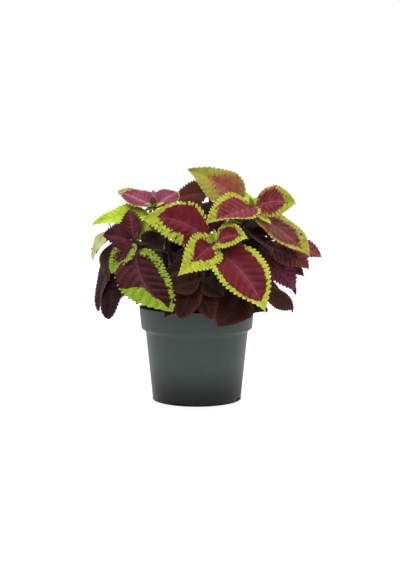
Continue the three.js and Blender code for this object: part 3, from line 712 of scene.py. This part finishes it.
def fits(leaf):
    """True where a leaf keeps clear of every leaf so far, every stem, the pot's rim and the soil."""
    x, y, z = leaf.samples.T
    if ((z < POT_CLEAR_Z) & (np.hypot(x, y) < POT_CLEAR_RADIUS)).any() or (z < LOWEST_LEAF_Z).any():
        return False
    if leaf.near(far_from(stem_points, leaf.joint), STEM_ROOM).any():
        return False
    return all(apart(leaf, other) for grown in leaves.values() for other in grown)


def grown_clear(joint, heading, pitch, length, face):
    """The leaf that grows here, bent farther until it is clear, or None where it is shed."""
    for turned, lifted in BENDS:
        tip = joint + bearing(heading + turned, pitch + lifted) * length
        leaf = Leaf(joint, tip, face, length * WIDTH_SHARE)
        if fits(leaf):
            return leaf
    return None


# What the leaves look like: the colours of the blade, its margin and its midrib, and how wide the margin is.
# Leaves that light reaches are crimson with a lime margin. Grown leaves inside the bush, and those of shoots
# marked shaded, take a dull dark look: painted shade.
LOOKS = {
    "crimson": ("7C1A26", "CACE40", "8E4656"),
    "rose": ("8E303A", "C4C03E", "A05866"),
    "blush": ("903A4C", "C0B060", "B0708C"),
    "copper": ("9E5440", "AFA040", "A45E54"),
    "ember": ("783832", "BAB044", "945656"),
    "maroon": ("52161C", "9EB230", "6E3A42"),
    "wine": ("561A24", "5E5A20", "743642"),
    "dusk": ("220D08", "43301A", "341C14"),
    "umber": ("30100A", "5A2C16", "44221A"),
    "rust": ("5A2616", "5A3018", "6A3A28"),
    "plum": ("260A12", "6A3442", "44202C"),
    "mauve": ("8C3C56", "6A3844", "8A505E"),
    "russet": ("863A3A", "84402E", "96565C"),
    "garnet": ("4C2020", "8E443E", "7C4048"),
    "lime": ("5A4420", "CAD838", "C6D468"),
    "pale": ("5A4420", "DACC9C", "BCC490"),
}
# The number dim darkens one half of a leaf's blade: painted shade.
BRIGHT_LEAF = {
    "lime": 0, "lime_tip": 0, "lean": 0, "bare": 0.03, "bare_lean": 0, "tip_from": 0.5, "tip_span": 0.5,
    "skew": 0, "dim": 0, "soft": 0, "specks": 0, "tooth": 1, "pucker": 1,
}
DULL_LEAF = {**BRIGHT_LEAF, "lime": 3, "soft": 8, "pucker": 0.35}
DULL_LOOKS = ("dusk", "umber", "plum", "rust")
PAINTED_SHADE_LOOK = {"look": "umber", "lime": 2.5, "soft": 7, "tooth": 0.6}
SHADE_RADIUS = 62
GROWN_LOOKS = [
    (0.62, {"look": "crimson", "lime": 3.0, "lime_tip": 7}),
    (0.4, {"look": "maroon", "lime": 1.6, "lime_tip": 5}),
    (-1, {"look": "umber", "tooth": 0.6}),
]
LOWEST_JOINT = 105
HIGHEST_JOINT = 232
TEETH_SHARE = 2
FEWEST_TEETH = 5
TOOTH_PITCH = 4.2
FINE, MEDIUM, SMALL = range(3)
YOUNG_LOOKS = {
    "lime bud": {"look": "lime", "lime": 2.4, "lime_tip": 4, "specks": 0.5},
    "pale bud": {"look": "pale", "lime": 3, "lime_tip": 4, "specks": 0.5},
    "red bud": {"look": "crimson", "lime": 2.2, "lime_tip": 3},
    "dark bud": {"look": "umber", "lime": 1.2, "lime_tip": 2, "tooth": 0.6},
    "wine bud": {"look": "wine", "lime": 0.8},
    "blush bud": {"look": "blush"},
}
SHADES = (0.88, 1.12)
LOOK_SEED = 11

drawn_looks = np.random.default_rng(LOOK_SEED)


def dressed(leaf, grid, shown):
    """Gives a leaf its place in the grids, its teeth and its colours."""
    usual = DULL_LEAF if shown["look"] in DULL_LOOKS else BRIGHT_LEAF
    for field, number in usual.items():
        setattr(leaf, field, shown.get(field, number))
    leaf.grid = grid
    leaf.teeth = max(FEWEST_TEETH, round(TEETH_SHARE * math.sqrt(leaf.length)))
    leaf.tooth = leaf.tooth * leaf.length / leaf.teeth / TOOTH_PITCH
    leaf.seed = drawn_looks.random()
    shade = 1 if grid == FINE else drawn_looks.uniform(*SHADES)
    tone, leaf.rim, leaf.rib = map(colour, LOOKS[shown["look"]])
    leaf.tone = [min(1, channel * shade) for channel in tone]
    return leaf


def add_young(name, heading, pitch, length, width, face, look):
    """Adds a young leaf at the tip of a shoot."""
    joint = on_stem(SHOOTS[name], BUD_AT)
    tip = joint + bearing(heading, pitch) * length
    young = Leaf(joint, tip, face, width, YOUNG_BOW, stalk=0)
    leaves[name].append(dressed(young, SMALL, YOUNG_LOOKS[look]))


SHAPED_BY = ("face", "width", "bow", "sway", "stalk", "fold", "taper")
for name, shoot in SHOOTS.items():
    for row in shoot["leaves"]:
        shape = {key: row[key] for key in SHAPED_BY if key in row}
        leaf = Leaf(on_stem(shoot, row["at"]), row["tip"], **shape)
        leaves[name].append(dressed(leaf, FINE, row))
    look = shoot.get("buds_like", "dark bud")
    for heading in (shoot["buds"], shoot["buds"] + 180):
        face = bearing(heading + 180, BUD_FACE_PITCH)
        add_young(name, heading, BUD_PITCH, BUD_LENGTH, BUD_WIDTH, face, look)

for name, shoot in SHOOTS.items():
    lean_out = np.array(shoot["tip"][:2]) - shoot["foot"]
    outside = math.degrees(math.atan2(lean_out[1], lean_out[0]))
    face = bearing(outside, 0) * FACE_OUT + [0, 0, 1]
    for at, heading, length in shoot["pairs"]:
        joint = on_stem(shoot, at)
        height = (joint[2] - LOWEST_JOINT) / (HIGHEST_JOINT - LOWEST_JOINT)
        pitch = DROOP_LOW + (DROOP_HIGH - DROOP_LOW) * height
        shown = next(look for least, look in GROWN_LOOKS if height > least)
        for side in (heading, heading + 180):
            away = (outside - side + 180) % 360 - 180
            leaf = grown_clear(joint, side + TURN_OUT * away, pitch, length, face)
            if not leaf:
                continue
            reach = np.hypot(*leaf.point(1, 0, 0)[:2])
            # Grown leaves near the middle, or on shaded shoots, get the dull dark look: painted shade.
            lit = reach > SHADE_RADIUS and not shoot.get("shaded")
            leaves[name].append(dressed(leaf, MEDIUM, shown if lit else PAINTED_SHADE_LOOK))

for name, shoot in SHOOTS.items():
    for heading, pitch, length, look in shoot.get("apex", []):
        add_young(name, heading, pitch, length, length * APEX_WIDTH_SHARE, APEX_FACE, look)


# The stems and leaf stalks
# Coleus stems are square, soft and a little swollen at each pair of leaves. They are brown near the soil and
# greener at the tip. Every leaf hangs on a short stalk, which runs on under the blade as its midrib.
STEM_FOOT = 3.4
STEM_TOP = 1.9
STEM_SUNK = 1
STALK_THICK = 1.15
STALK_THIN = 0.3
STALK_SUNK = 0.14
STEM_STEPS = 60
STALK_STEPS = 10
JOINT_SWELL = 0.35
JOINT_REACH = 3.5
STEM_SHAPE = {"Sides": 8, "Squareness": 0.14}

lines = {"point": [], "edge": [], "thick": [], "skin": []}


def add_line(points, thick, skin):
    """Adds a line of points, with its radius and colour at each."""
    first = len(lines["point"])
    lines["point"] += [tuple(MM * float(c) for c in point) for point in points]
    lines["edge"] += [(first + step, first + step + 1) for step in range(len(points) - 1)]
    lines["thick"] += [MM * float(size) for size in thick]
    lines["skin"] += skin


def carry(mesh, name, kind, values):
    """Gives each point of a mesh its value under a name."""
    channel = {"FLOAT": "value", "INT": "value", "FLOAT_VECTOR": "vector", "FLOAT_COLOR": "color"}[kind]
    mesh.attributes.new(name, kind, "POINT").data.foreach_set(channel, np.ravel(values))


def between(first, second, share):
    """The colour at a share of the way from the first to the second."""
    return [a + (b - a) * share for a, b in zip(first, second)]


for name, shoot in SHOOTS.items():
    shares = np.linspace(0, 1, STEM_STEPS + 1)
    points = np.array([on_stem(shoot, share) for share in shares])
    points[0][2] -= STEM_SUNK
    joints = [leaf.joint for leaf in leaves[name]]
    near_joint = np.array([min(np.linalg.norm(joint - point) for joint in joints) for point in points])
    swell = JOINT_SWELL * np.exp(-((near_joint / JOINT_REACH) ** 2))
    skin = [between(colour("1C130D"), colour("4C4620"), share**4) for share in shares]
    add_line(points, STEM_FOOT + (STEM_TOP - STEM_FOOT) * shares + swell, skin)
    for leaf in leaves[name]:
        if not leaf.stalk:
            continue
        alongs = np.linspace(0, leaf.stalk + (1 - leaf.stalk) * STALK_SUNK, STALK_STEPS)
        thick = STALK_THICK + (STALK_THIN - STALK_THICK) * (alongs / alongs[-1]) ** 3
        add_line(leaf.point(alongs, 0, 0), thick, [between(skin[-1], leaf.rib, 0.45)] * STALK_STEPS)

stem_lines = bpy.data.meshes.new("stem_lines")
stem_lines.from_pydata(lines["point"], lines["edge"], [])
carry(stem_lines, "thick", "FLOAT", lines["thick"])
carry(stem_lines, "skin", "FLOAT_COLOR", lines["skin"])

graph, given = new_tree("square_stems", STEM_SHAPE)


def attribute(name, kind="FLOAT"):
    """A value that the mesh carries into the tree."""
    return graph.add("GeometryNodeInputNamedAttribute", {"Name": name}, data_type=kind)


paths = graph.add("GeometryNodeMeshToCurve", {"Mesh": given["Geometry"]})
section = {"Resolution": given["Sides"], "Radius": 1.0}
section = graph.add("GeometryNodeCurvePrimitiveCircle", section, mode="RADIUS")
spoke = 1 - graph.add("GeometryNodeInputIndex").maths("MODULO", 2.0) * given["Squareness"]
corner = graph.scaled(graph.add("GeometryNodeInputPosition"), spoke)
section = graph.moved(section, Position=corner)
skin = {"Curve": paths, "Profile Curve": section, "Scale": attribute("thick"), "Fill Caps": True}
finish_tree(graph, graph.add("GeometryNodeCurveToMesh", skin), given["Material"])

material, shader = new_material("soft_green_stem")
place = shader.add("ShaderNodeTexCoord", output=3)
streak = shader.noise(shader.vector("MULTIPLY", place, (900.0, 900.0, 90.0)), 1.0, 3.0)
flush = shader.mix(shader.step(streak, 0.42, 0.62) * 0.6, shader.carried("skin", 0), colour("3E1A1A"))
finish_material(shader, {
    "Base Color": flush,
    "Roughness": 0.5 + streak * 0.2,
    "Specular IOR Level": 0.2,
    "Normal": shader.bump(streak, 0.3, 0.0003),
})

stems = grown_mesh("stems_and_stalks", stem_lines, graph, material, STEM_SHAPE)
stems.data.shade_smooth()
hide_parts(*SHOOTS)
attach(stems, "root")


# The leaves
# Each is a soft blade half a millimetre thick, puffed up between sunken side veins, with a rounded-tooth
# margin. Its colour changes along a ragged line: red inside, yellow-green along the margin.
ROWS = (168, 96, 30)
ROUND = (28, 20, 16)
MERGE_DISTANCE = 0.00002
FULL_RELIEF_HALF = 0.02
SHARP_ANGLE = 65
MM_PER_METRE = 1000
BLADE = {
    "Thickness": 0.45 * MM,
    "Tooth depth": 3.2 * MM,
    "Wave": 0.07,
    "Waves": 1.5,
    "Puff": 1.7 * MM,
    "Midrib": 0.35 * MM,
    "Curl": CURL,
    "Vein pairs": 8.5,
    "Vein slope": 0.62,
    "Vein bend": 0.4,
    "Lobe": LOBE_POWER,
}

graph, given = new_tree("toothed_leaves", BLADE)
where = graph.add("GeometryNodeInputPosition")
row = graph.axis(where, 0) + 0.5
column = graph.axis(where, 1) + 0.5
sheets = []
for rows, columns in zip(ROWS, ROUND):
    sheet = {"Size X": 1.0, "Size Y": 1.0, "Vertices X": rows + 1, "Vertices Y": columns + 1}
    sheet = with_attribute(graph.add("GeometryNodeMeshGrid", sheet), "share", row)
    sheet = with_attribute(sheet, "round", column)
    sheets.append(with_attribute(sheet, "under", column.maths("GREATER_THAN", 0.5), "FACE"))
# This socket takes its links in reverse order, so the sheets go in from the last to the first.
sheets = graph.add("GeometryNodeGeometryToInstance", {"Geometry": sheets[::-1]})
blades = {"Points": given["Geometry"], "Instance": sheets, "Pick Instance": True}
blades["Instance Index"] = attribute("grid", "INT")
blades = graph.realized(graph.add("GeometryNodeInstanceOnPoints", blades))

share = attribute("share").maths("MAXIMUM", 0.0).maths("MINIMUM", 1.0)
half, length, seed, taper = map(attribute, ("half", "length", "seed", "taper"))
stalk, turn, radius = map(attribute, ("stalk", "turn", "radius"))
blades = with_attribute(blades, "across", 1 - abs(attribute("round") * 4 - 2))
across = attribute("across")
reach = abs(across)
hand = across.maths("SIGN")
widest = given["Lobe"] / (given["Lobe"] + taper)
lobe = (share / widest) ** given["Lobe"]
point = ((1 - share) / (1 - widest)) ** taper
uneven = graph.noise(graph.xyz(share * 5, hand, seed * 50), 1.0, 1.0)
width = half * lobe * point * (0.93 + uneven * 0.14)
tooth = (share * attribute("teeth") + hand * 0.25 + seed).maths("FRACT")
crown = (tooth**1.25 * math.pi).maths("SINE").maths("MAXIMUM", 0.0) ** 0.75
deep = given["Tooth depth"] * attribute("tooth")
notch = (1 - crown) * deep.maths("MINIMUM", width * 0.26)
side = across * (width - notch * reach**6)
aside = abs(side)
slope = width * (given["Lobe"] / share.maths("MAXIMUM", 0.02) - taper / (1.02 - share)) / length
edge = (width - notch * 0.35 - aside) / (slope * slope + 1).maths("SQRT")
veins = share * length - aside * given["Vein slope"] * (1 + aside / half * given["Vein bend"])
start = attribute("tip_from") + hand * attribute("skew")
tipward = graph.step(share, start, start + attribute("tip_span"))
bare = attribute("bare") + hand * attribute("bare_lean")
off_base = graph.step(share, bare - 0.05, bare + 0.07)
rim = attribute("lime") * (1 + hand * attribute("lean")) * off_base
rim = rim * (1.25 - 0.55 * graph.step(share, 0.3, 0.9)) + attribute("lime_tip") * tipward
veins = veins / length * given["Vein pairs"]
kept = {"crown": crown, "side": side, "along": share * length, "edge": edge, "vein": veins, "band": rim}
for name, value in kept.items():
    blades = with_attribute(blades, name, value)

is_under = attribute("round").maths("GREATER_THAN", 0.5)
rise = attribute("fold") * aside - given["Curl"] * side * side / half
wave = (share * given["Waves"] * 2 * math.pi + hand).maths("SINE") * reach**1.5 * given["Wave"] * half
crumple = graph.noise(graph.xyz(share * length, side, seed * 3), 60.0)
ridge = abs((attribute("vein") * math.pi).maths("SINE")) ** 0.6
grown_up = (half / FULL_RELIEF_HALF).maths("MINIMUM", 1.0)
puff = (ridge - 0.6) * given["Puff"] * attribute("pucker") * graph.step(aside, 0.0006, 0.004)
puff = puff * (1 - reach**4) * grown_up
groove = (1 - graph.step(aside, 0.0, 0.0016)) * given["Midrib"] * (1.1 - share)
groove = groove * (1 + is_under * 1.6) * grown_up
thick = given["Thickness"] * (0.5 - is_under) * (1 - reach**8) * (width / 0.0015).maths("MINIMUM", 1.0)
lift = rise + wave + (crumple - 0.5) * 0.0016 * reach + puff - groove + thick

along = stalk + (1 - stalk) * share
angle = turn * (along - 0.5)
ahead = radius * (angle.maths("SINE") + (turn / 2).maths("SINE")) + lift * angle.maths("SINE")
above = radius * (angle.maths("COSINE") - (turn / 2).maths("COSINE")) + lift * angle.maths("COSINE")
out = side + attribute("sway") * 4 * along * (1 - along)
spot = (0.0, 0.0, 0.0)
for name, distance in {"forward": ahead, "left": out, "up": above}.items():
    spot = graph.vector("ADD", spot, graph.scaled(attribute(name, "FLOAT_VECTOR"), distance))
spot = graph.vector("ADD", spot, attribute("joint", "FLOAT_VECTOR"))
blades = {"Geometry": graph.moved(blades, Position=spot), "Distance": MERGE_DISTANCE}
blades = graph.add("GeometryNodeMergeByDistance", blades)
finish_tree(graph, blades, given["Material"])

material, shader = new_material("coleus_leaf")
tone, rim, rib = (shader.carried(name, 0) for name in ("tone", "rim", "rib"))
share, crown, vein, seed = map(shader.carried, ("share", "crown", "vein", "seed"))
specks, pucker, dim = map(shader.carried, ("specks", "pucker", "dim"))
lengths = ("side", "along", "edge", "band", "soft")
side, along, edge, band, soft = (shader.carried(name) * MM_PER_METRE for name in lengths)
aside = abs(side)
flat = shader.xyz(along, side, seed * 60)
tongues = shader.noise(shader.xyz(vein * 2.2, edge * 0.12, seed * 60), 1.0, 4.0, Roughness=0.65)
flecks = shader.noise(flat, 0.75, 4.0)
cloud = shader.noise(flat, 0.12, 3.0)
grain = shader.noise(flat, 3.2)
blots = shader.noise(flat, 0.3, 3.0)
cells = shader.add("ShaderNodeTexVoronoi", {"Vector": flat, "Scale": 0.62}, feature="DISTANCE_TO_EDGE")
pores = shader.add("ShaderNodeTexVoronoi", {"Vector": flat, "Scale": 0.5}, feature="F1")

edged = (band / 3).maths("MINIMUM", 1.0)
ragged = band * (0.5 + 0.6 * tongues + 0.45 * crown)
ragged = ragged + (flecks - 0.5) * (2.4 + soft * 1.5) * edged
ragged = ragged - shader.step(blots, 0.54, 0.62) * specks * 9
lime = shader.step(ragged - edge, -0.3 - soft * 0.5, 0.35 + soft * 0.5)
pinch = (1 - shader.step(crown, 0.1, 0.55)) * (1 - shader.step(band, 3.0, 6.0))
lime = lime * (1 - pinch * 0.8)
from_vein = 0.5 - abs((vein + (cloud - 0.5) * 0.3).maths("FRACT") - 0.5)
side_vein = (1 - shader.step(from_vein, 0.015, 0.07)) * shader.step(edge, 0.5, 5.0)
# Painted shade in the hollows along the side veins.
painted_vein_shade = (1 - shader.step(from_vein, 0.0, 0.36)) * shader.step(aside, 0.8, 3.5) * pucker
netting = 1 - shader.step(cells, 0.015, 0.13)
midrib = 1 - shader.step(aside, 0.2, 0.75)
# A mauve tone near the midrib: partly the leaf's own colour, partly a painted sheen.
midrib_tone_and_sheen = (1 - shader.step(aside, 0.5, 9.0)) * shader.step(cloud, 0.3, 0.6)


def tinted(base, tint):
    """A colour multiplied by a tint."""
    return shader.mix(1.0, base, (*tint, 1), "MULTIPLY")


blade = shader.mix(shader.step(cloud, 0.35, 0.68), tinted(tone, (0.7, 0.6, 0.66)), tone)
# Puffs between the side veins are painted lighter and the vein hollows darker: painted light and painted
# shade.
blade = shader.mix(painted_vein_shade * 0.7, tinted(blade, (1.16, 1.04, 1.06)), tinted(blade, (0.56, 0.46, 0.52)))
# Mauve near the midrib, partly the leaf's own colour and partly a painted sheen.
blade = shader.mix(midrib_tone_and_sheen * (0.75 - share * 0.5), blade, rib)
blade = shader.mix(shader.step(grain, 0.52, 0.75) * 0.25, blade, rib)
blade = shader.mix(netting * 0.45, blade, tinted(tone, (0.45, 0.36, 0.4)))
blade = shader.mix(side_vein * pucker * 0.3, blade, rib)
blade = shader.mix(midrib * (1 - share * 0.5), blade, tinted(rib, (1.25, 1.15, 1.3)))
# One half of the blade is painted darker: painted shade.
turned = shader.step(side * dim, 0.0, 0.4) * abs(dim)
blade = shader.mix(turned, blade, tinted(blade, (0.5, 0.56, 0.6)))
beads = shader.vector("MINIMUM", tinted(rim, (1.35, 1.12, 3.6)), (1, 1, 0.3))
margin = shader.mix(shader.step(edge, 0.5, 2.2), beads, rim)
margin = shader.mix(shader.step(cloud, 0.4, 0.65) * 0.9, margin, tinted(rim, (0.66, 0.84, 0.5)))
margin = shader.mix(netting * 0.5, margin, tinted(rim, (0.5, 0.72, 0.36)))
margin = shader.mix(side_vein * 0.4, margin, tinted(rim, (0.6, 0.76, 0.4)))
pore = (1 - shader.step(pores, 0.12, 0.34)) * shader.step(flecks, 0.42, 0.55)
pored = shader.mix(0.35, tone, tinted(rim, (0.4, 0.6, 0.3)))
margin = shader.mix(pore * (0.25 + specks * 0.6), margin, pored)
skin = shader.mix(lime, blade, margin)
skin = shader.mix(shader.carried("under") * 0.4, skin, tinted(skin, (0.62, 0.56, 0.66)))
puckers = (from_vein * 2) ** 0.6 * shader.step(aside, 0.8, 4.0) * pucker
relief = shader.step(cells, 0.0, 0.3) * 0.35 + grain * 0.2 + puckers * 1.5
finish_material(shader, {
    "Base Color": skin,
    "Roughness": 0.5 + grain * 0.2,
    "Specular IOR Level": 0.16,
    "Normal": shader.bump(relief, 0.6, 0.001),
})

BY_LEAF = {
    "INT": ("grid",),
    "FLOAT": (
        "turn", "radius", "sway", "half", "stalk", "fold", "length", "teeth", "tooth", "lime", "lime_tip",
        "lean", "bare", "tip_from", "tip_span", "skew", "bare_lean", "dim", "pucker", "taper", "soft",
        "specks", "seed",
    ),
    "FLOAT_VECTOR": ("joint", "forward", "left", "up"),
    "FLOAT_COLOR": ("tone", "rim", "rib"),
}
IN_MM = {"radius", "sway", "half", "length", "lime", "lime_tip", "soft", "joint"}
FOR_SHADER = {"tone", "rim", "rib", "seed", "soft", "specks", "pucker", "dim"}
SPENT = {"round", "across"}.union(*BY_LEAF.values()) - FOR_SHADER

for name, shoot in SHOOTS.items():
    grown = leaves[name]
    points = bpy.data.meshes.new(name + "_points")
    points.from_pydata([(0, 0, 0)] * len(grown), [], [])
    for kind, fields in BY_LEAF.items():
        for field in fields:
            unit = MM if field in IN_MM else 1
            carry(points, field, kind, np.ravel([getattr(leaf, field) for leaf in grown]) * unit)
    piece = grown_mesh(name + "_leaves", points, graph, material, BLADE)
    for field in [item.name for item in piece.data.attributes if item.name in SPENT]:
        piece.data.attributes.remove(piece.data.attributes[field])
    piece.data.shade_smooth()
    piece.data.set_sharp_from_angle(angle=math.radians(SHARP_ANGLE))
    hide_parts(name)
    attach(piece, "root")


# The studio
# A white table in a white room, lit softly from above and behind, and seen from the photo's side. The table
# glows around the pot but not under it, where a dark disc is a painted shadow that keeps the drain slots
# dark.
FLOOR_HALF = 6
FLOOR_GLOW = 0.84
GLOW_FROM = BASE_RADIUS - 0.5
GLOW_FULL = BASE_RADIUS + 1.2
ROOM_FRONT = 0.12
ROOM_BACK = 1.1
ROOM_TOP = 0.7
ROOM_SEEN = 1.02
LAMP_SPOT = (-0.1, -0.35, 1.5)
LAMP_AIM = (0, 0, 0.1)
LAMP_SIZE = 1.8
LAMP_POWER = 12
CAMERA_SPOT = (0.0036, -1.142, 0.235)
CAMERA_DIP = 5.3
CAMERA_LENS = 64.1
CAMERA_SENSOR = 36

floor = bpy.data.meshes.new("studio_floor")
corners = [(x * FLOOR_HALF, y * FLOOR_HALF, 0) for x, y in ((-1, -1), (1, -1), (1, 1), (-1, 1))]
floor.from_pydata(corners, [], [(0, 1, 2, 3)])
material, shader = new_material("white_table")
place = shader.add("ShaderNodeTexCoord", output=3)
# The floor does not glow under the pot or at its foot: a painted shadow.
lit = shader.step(shader.length(place), GLOW_FROM * MM, GLOW_FULL * MM)
finish_material(shader, {
    "Base Color": shader.mix(shader.noise(place, 3.0), colour("7A7A7A"), colour("808080")),
    "Roughness": 0.8,
    "Emission Color": shader.mix(lit, colour("000000"), colour("FFFFFF")),
    "Emission Strength": FLOOR_GLOW,
})
placed("studio_floor", floor, material)

world = bpy.data.worlds.new("white_room")
bpy.context.scene.world = world
room = cleared(world)
way = room.add("ShaderNodeTexCoord")
from_behind = room.step(room.axis(way, 1), -0.6, 0.6)
from_above = room.step(room.axis(way, 2), 0.0, 0.9)
seen = room.add("ShaderNodeLightPath")
strength = seen * ROOM_SEEN + (1 - seen) * (ROOM_FRONT + from_behind * ROOM_BACK + from_above * ROOM_TOP)
sky = room.add("ShaderNodeBackground", {"Color": (1, 1, 1, 1), "Strength": strength})
room.add("ShaderNodeOutputWorld", {"Surface": sky})

lamp = bpy.data.lights.new("top_light", "AREA")
lamp.shape = "SQUARE"
lamp.size = LAMP_SIZE
lamp.energy = LAMP_POWER
holder = in_scene("top_light", lamp)
holder.location = LAMP_SPOT
aim = mathutils.Vector(LAMP_AIM) - mathutils.Vector(LAMP_SPOT)
holder.rotation_euler = aim.to_track_quat("-Z", "Y").to_euler()

lens = bpy.data.cameras.new("photo_camera")
lens.sensor_fit = "VERTICAL"
lens.sensor_height = CAMERA_SENSOR
lens.lens = CAMERA_LENS
camera = in_scene("photo_camera", lens)
camera.location = CAMERA_SPOT
camera.rotation_euler = (math.radians(90 - CAMERA_DIP), 0, 0)
bpy.context.scene.camera = camera
bpy.context.scene.view_settings.view_transform = "Standard"
